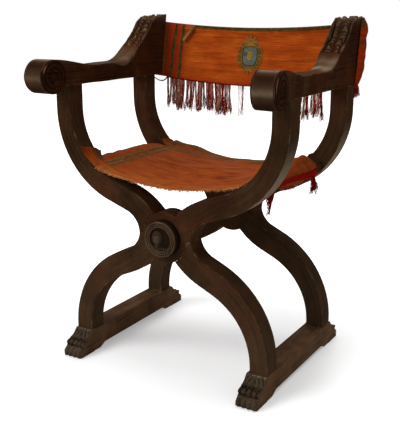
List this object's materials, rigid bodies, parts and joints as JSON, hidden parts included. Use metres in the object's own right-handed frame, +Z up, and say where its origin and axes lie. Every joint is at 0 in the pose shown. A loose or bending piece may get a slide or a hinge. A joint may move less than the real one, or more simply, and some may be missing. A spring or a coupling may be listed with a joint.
{
  "type": "savonarola chair",
  "caption": "Folding armchair on two crossed pairs of S-curved slats, with sledge feet, scrolled arms, a cloth sling seat and a cloth back panel.",
  "frame": {"origin": "on the floor, under the middle of the whole chair's bounding box", "axes": "+X to the right of someone who faces the chair, -Y towards that person (the chair's front), +Z up"},
  "size_m": [0.694, 0.559, 0.9],
  "materials": {
    "wood_walnut": "dark waxed walnut, worn paler on the edges",
    "cloth_red": "faded orange-red ribbed silk",
    "galloon_olive": "tarnished olive-gold woven band",
    "embroidery": "gold and blue-green embroidery",
    "fringe_red": "dark red silk fringe",
    "nail_brass": "tarnished domed nail heads"
  },
  "bodies": {
    "left_frame": {"left_arm": "wood_walnut", "front_slat_left": "wood_walnut", "rear_slat_left": "wood_walnut", "right_sledge": "wood_walnut", "left_seat_rail": "wood_walnut", "seat_sling": "cloth_red", "back_panel": "cloth_red", "seat_fringe_left": "fringe_red", "back_fringe": "fringe_red", "back_top_galloon": "galloon_olive", "back_side_galloons": "galloon_olive", "seat_galloons": "galloon_olive", "back_applique": "embroidery", "back_nails_left": "nail_brass"},
    "right_frame": {"right_arm": "wood_walnut", "front_slat_right": "wood_walnut", "rear_slat_right": "wood_walnut", "left_sledge": "wood_walnut", "right_seat_rail": "wood_walnut", "front_medallion": "wood_walnut", "front_pivot_pin": "wood_walnut", "rear_pivot_pin": "wood_walnut", "seat_fringe_right": "fringe_red", "back_nails_right": "nail_brass"}
  },
  "joints": [
    {"name": "fold", "type": "hinge", "parent": "left_frame", "child": "right_frame", "pos_m": [0, 0.0195, 0.369], "axis": [0, -1, 0], "range_deg": [0, 48], "deforming": ["seat_sling", "back_panel", "back_fringe", "back_top_galloon", "back_side_galloons", "seat_galloons", "back_applique"]}
  ]
}
